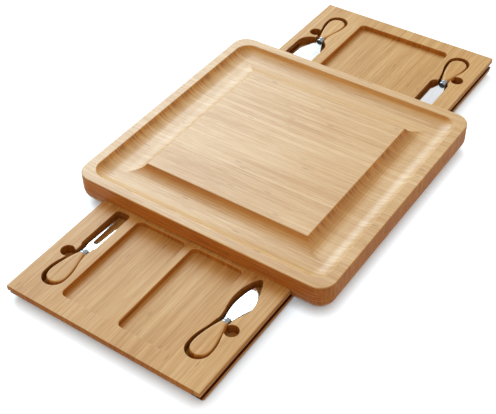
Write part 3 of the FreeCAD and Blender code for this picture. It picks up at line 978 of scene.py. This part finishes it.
for tool, points_to in TOOLS.items():
    low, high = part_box(tool + "_handle")
    middle = middle_of(low, high)
    butt_y = low[1] if points_to > 0 else high[1]
    grip_mesh = run_tree(
        pear, Length=high[1] - low[1], Radius=PEAR_WITHIN * (high[0] - low[0]) / 2,
        Thickness=high[2] - low[2], Edge=PEAR_EDGE, Place=(middle[0], butt_y, middle[2]),
        Turn=(0.0, 0.0, 0.0 if points_to > 0 else pi), Finish=handle_bamboo,
    )
    add_piece(tool + "_grip", grip_mesh, tool, "bamboo_handle", tool + "_handle")
    print(tool, "handle:", len(grip_mesh.polygons), "faces")

# %% [markdown]
# ## Turned ferrules
#
# A ferrule is a steel sleeve that keeps the handle from splitting where the blade enters. It is
# turned, so its whole shape is one profile swept round the tool's axis: a thicker ring against
# the wood, a narrow groove, the sleeve, and a rounded edge round the blade. A profile with so few
# corners is easiest to write down as points and sweep in mesh code.

# %% Four ferrules
SLEEVE_PROFILE = [
    (5.00, 0.00), (5.35, 0.08), (5.49, 0.40), (5.49, 2.00), (5.35, 2.32), (5.00, 2.40),
    (4.80, 2.60), (4.80, 2.80), (5.00, 3.00), (5.10, 3.20), (5.10, 6.40), (5.00, 6.95),
    (4.70, 7.36), (4.35, 7.50), (4.05, 7.40), (3.95, 7.10), (3.95, 6.60),
]
HOLLOW_FROM = 15
SLEEVE_SIDES = 56


def turned_shape(profile, middle, start_y, points_to):
    """A profile of radius and distance along, in mm, swept round a tool's axis and closed."""
    shape = bmesh.new()
    hollow = shape.verts.layers.float.new("hollow")
    rings = []
    for count, (radius, along) in enumerate(profile):
        ring = []
        for side in range(SLEEVE_SIDES):
            angle = 2 * pi * side / SLEEVE_SIDES
            spot = (middle[0] + radius * MM * cos(angle), start_y + points_to * along * MM,
                    middle[2] + radius * MM * sin(angle))
            vertex = shape.verts.new(spot)
            # The last rings form the hollow end, which the ferrule steel darkens as painted shade.
            vertex[hollow] = 1.0 if count >= HOLLOW_FROM else 0.0
            ring.append(vertex)
        rings.append(ring)
    for near, far in zip(rings, rings[1:]):
        for side in range(SLEEVE_SIDES):
            after = (side + 1) % SLEEVE_SIDES
            shape.faces.new((near[side], near[after], far[after], far[side])).smooth = True
    shape.faces.new(rings[0])
    shape.faces.new(rings[-1])
    bmesh.ops.recalc_face_normals(shape, faces=shape.faces)
    return shape


for tool, points_to in TOOLS.items():
    low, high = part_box(tool + "_ferrule")
    start_y = low[1] if points_to > 0 else high[1]
    sleeve_shape = turned_shape(SLEEVE_PROFILE, middle_of(low, high), start_y, points_to)
    sleeve_mesh = finished_mesh(sleeve_shape, tool + "_sleeve", ferrule_steel)
    add_piece(tool + "_sleeve", sleeve_mesh, tool, "ferrule_steel", tool + "_ferrule")
    print(tool, "ferrule:", len(sleeve_mesh.polygons), "faces")

# %% [markdown]
# ## Blades with eased edges
#
# A blade is stamped from sheet, and polishing then takes the sharpness off its edges and leaves a
# thin bright line along them. The construction blades have bare edges. So each one is copied, its
# triangles are joined into whole faces, and a small bevel is run round every edge. The fork needs
# one thing more. Its tines are drawn out to points from the inside and dip a little, as they do on
# a fork that is meant to lift a slice, and for that they are cut across in several places first.

# %% Tines of the fork
TINE_LENGTH = 47.0 * MM
TINE_MORE = 3.4 * MM
TINE_DIP = 2.0 * MM
TINE_TAPER = 0.68
TINE_CUTS = 12
CUT_SLACK = 0.001 * MM
ALONG_TOOL = (0.0, 1.0, 0.0)


def bend_tines(shape, low, high):
    """Draws the fork's tines out to points and bends them down."""
    axis = (low[0] + high[0]) / 2
    half = (high[0] - low[0]) / 2
    start = high[1] - TINE_LENGTH
    for cut in range(1, TINE_CUTS):
        whole = list(shape.verts) + list(shape.edges) + list(shape.faces)
        cut_at = (0.0, start + TINE_LENGTH * cut / TINE_CUTS, 0.0)
        bmesh.ops.bisect_plane(shape, geom=whole, dist=CUT_SLACK, plane_co=cut_at, plane_no=ALONG_TOOL)
    for vertex in shape.verts:
        along = (vertex.co.y - start) / TINE_LENGTH
        if along > 0.0:
            outside = axis + (half if vertex.co.x > axis else -half)
            vertex.co.x = outside + (vertex.co.x - outside) * (1.0 - TINE_TAPER * along)
            vertex.co.y += TINE_MORE * along
            vertex.co.z -= TINE_DIP * along


print("tines drawn out by", TINE_MORE / MM, "mm")

# %% Four blades
EDGE_EASE = 0.22 * MM
ONE_FACE = radians(1.0)
BLADE_CREASE = radians(30.0)


def eased_blade(tool):
    """A copy of a construction blade with a small bevel round every edge."""
    shape = welded_copy(tool + "_blade")
    bmesh.ops.dissolve_limit(shape, angle_limit=ONE_FACE, verts=shape.verts, edges=shape.edges)
    sharp = []
    for edge in shape.edges:
        if edge.is_manifold and edge.calc_face_angle() > BLADE_CREASE:
            sharp.append(edge)
    bmesh.ops.bevel(shape, geom=sharp, offset=EDGE_EASE, segments=2, profile=0.5, affect="EDGES")
    if tool == "fork":
        bend_tines(shape, *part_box("fork_blade"))
    bmesh.ops.triangulate(shape, faces=shape.faces)
    return finished_mesh(shape, tool + "_steel", blade_steel)


for tool in TOOLS:
    blade_mesh = eased_blade(tool)
    add_piece(tool + "_steel", blade_mesh, tool, "polished_steel", tool + "_blade")
    print(tool, "blade:", len(blade_mesh.polygons), "faces")

# %% [markdown]
# ## Rubber pads
#
# Four pads under the rails keep the board from sliding. They are moulded with raised rings, which
# grip better than a plain disc. One pad is a low disc with three rings, and Geometry Nodes sets it
# out on the four corners of a rectangle, so that a change to the pad changes all four.

# %% Pad tree
PAD_SIDES = 48
DISC_HEIGHT = 0.6
DISC_LIFT = 0.4
DISC_FOOT = 0.93
RING_REACHES = (0.26, 0.54, 0.82)
RING_WIDTH = 0.14
RING_HEIGHT = 0.9
RING_EASE = 0.045
RING_EASE_STEPS = 3

pads, given = new_tree("rubber_pads", Across="Float", Along="Float", Radius="Float", Height="Float",
                       Finish="Material")
pad_places = add(pads, "GeometryNodeMeshGrid", {
    "Size X": given["Across"], "Size Y": given["Along"], "Vertices X": 2, "Vertices Y": 2,
}).outputs[0]
disc = add(pads, "GeometryNodeMeshCone", {
    "Vertices": PAD_SIDES, "Radius Top": given["Radius"],
    "Radius Bottom": product(pads, given["Radius"], DISC_FOOT),
    "Depth": product(pads, given["Height"], DISC_HEIGHT),
}).outputs[0]
disc_place = add(pads, "ShaderNodeCombineXYZ", {2: product(pads, given["Height"], DISC_LIFT)}).outputs[0]
disc = add(pads, "GeometryNodeTransform", {"Geometry": disc, "Translation": disc_place}).outputs[0]
pad_parts = add(pads, "GeometryNodeJoinGeometry")
pads.links.new(disc, pad_parts.inputs[0])
print("pad disc with", PAD_SIDES, "sides")

# %% Rings on the pad
ring_wide = product(pads, given["Radius"], RING_WIDTH)
ring_high = product(pads, given["Height"], RING_HEIGHT)
ring_place = add(pads, "ShaderNodeCombineXYZ", {2: product(pads, ring_high, 0.5)}).outputs[0]
section = add(pads, "GeometryNodeCurvePrimitiveQuadrilateral",
              {"Width": ring_wide, "Height": ring_high}).outputs[0]
ring_ease = product(pads, given["Radius"], RING_EASE)
section = add(pads, "GeometryNodeFilletCurve",
              {"Curve": section, "Radius": ring_ease, "Count": RING_EASE_STEPS}, mode="POLY").outputs[0]
for ring_reach in RING_REACHES:
    ring_radius = product(pads, given["Radius"], ring_reach)
    path = add(pads, "GeometryNodeCurvePrimitiveCircle",
               {"Resolution": PAD_SIDES, "Radius": ring_radius}).outputs[0]
    ring = add(pads, "GeometryNodeCurveToMesh", {"Curve": path, "Profile Curve": section}).outputs[0]
    ring = add(pads, "GeometryNodeTransform", {"Geometry": ring, "Translation": ring_place}).outputs[0]
    ring = add(pads, "GeometryNodeSetShadeSmooth", {"Geometry": ring}).outputs[0]
    pads.links.new(ring, pad_parts.inputs[0])
spread = add(pads, "GeometryNodeInstanceOnPoints",
             {"Points": pad_places, "Instance": pad_parts.outputs[0]}).outputs[0]
end_tree(pads, spread, given["Finish"])
print("rings on a pad:", len(RING_REACHES))

# %% Four pads
PAD_RADIUS = 8.0 * MM

low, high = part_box("feet")
pads_mesh = run_tree(
    pads, Across=high[0] - low[0] - 2 * PAD_RADIUS, Along=high[1] - low[1] - 2 * PAD_RADIUS,
    Radius=PAD_RADIUS, Height=high[2] - low[2], Finish=rubber,
)
add_piece("ringed_pads", pads_mesh, "board", "pad_rubber", "feet")
print("pads:", len(pads_mesh.polygons), "faces")
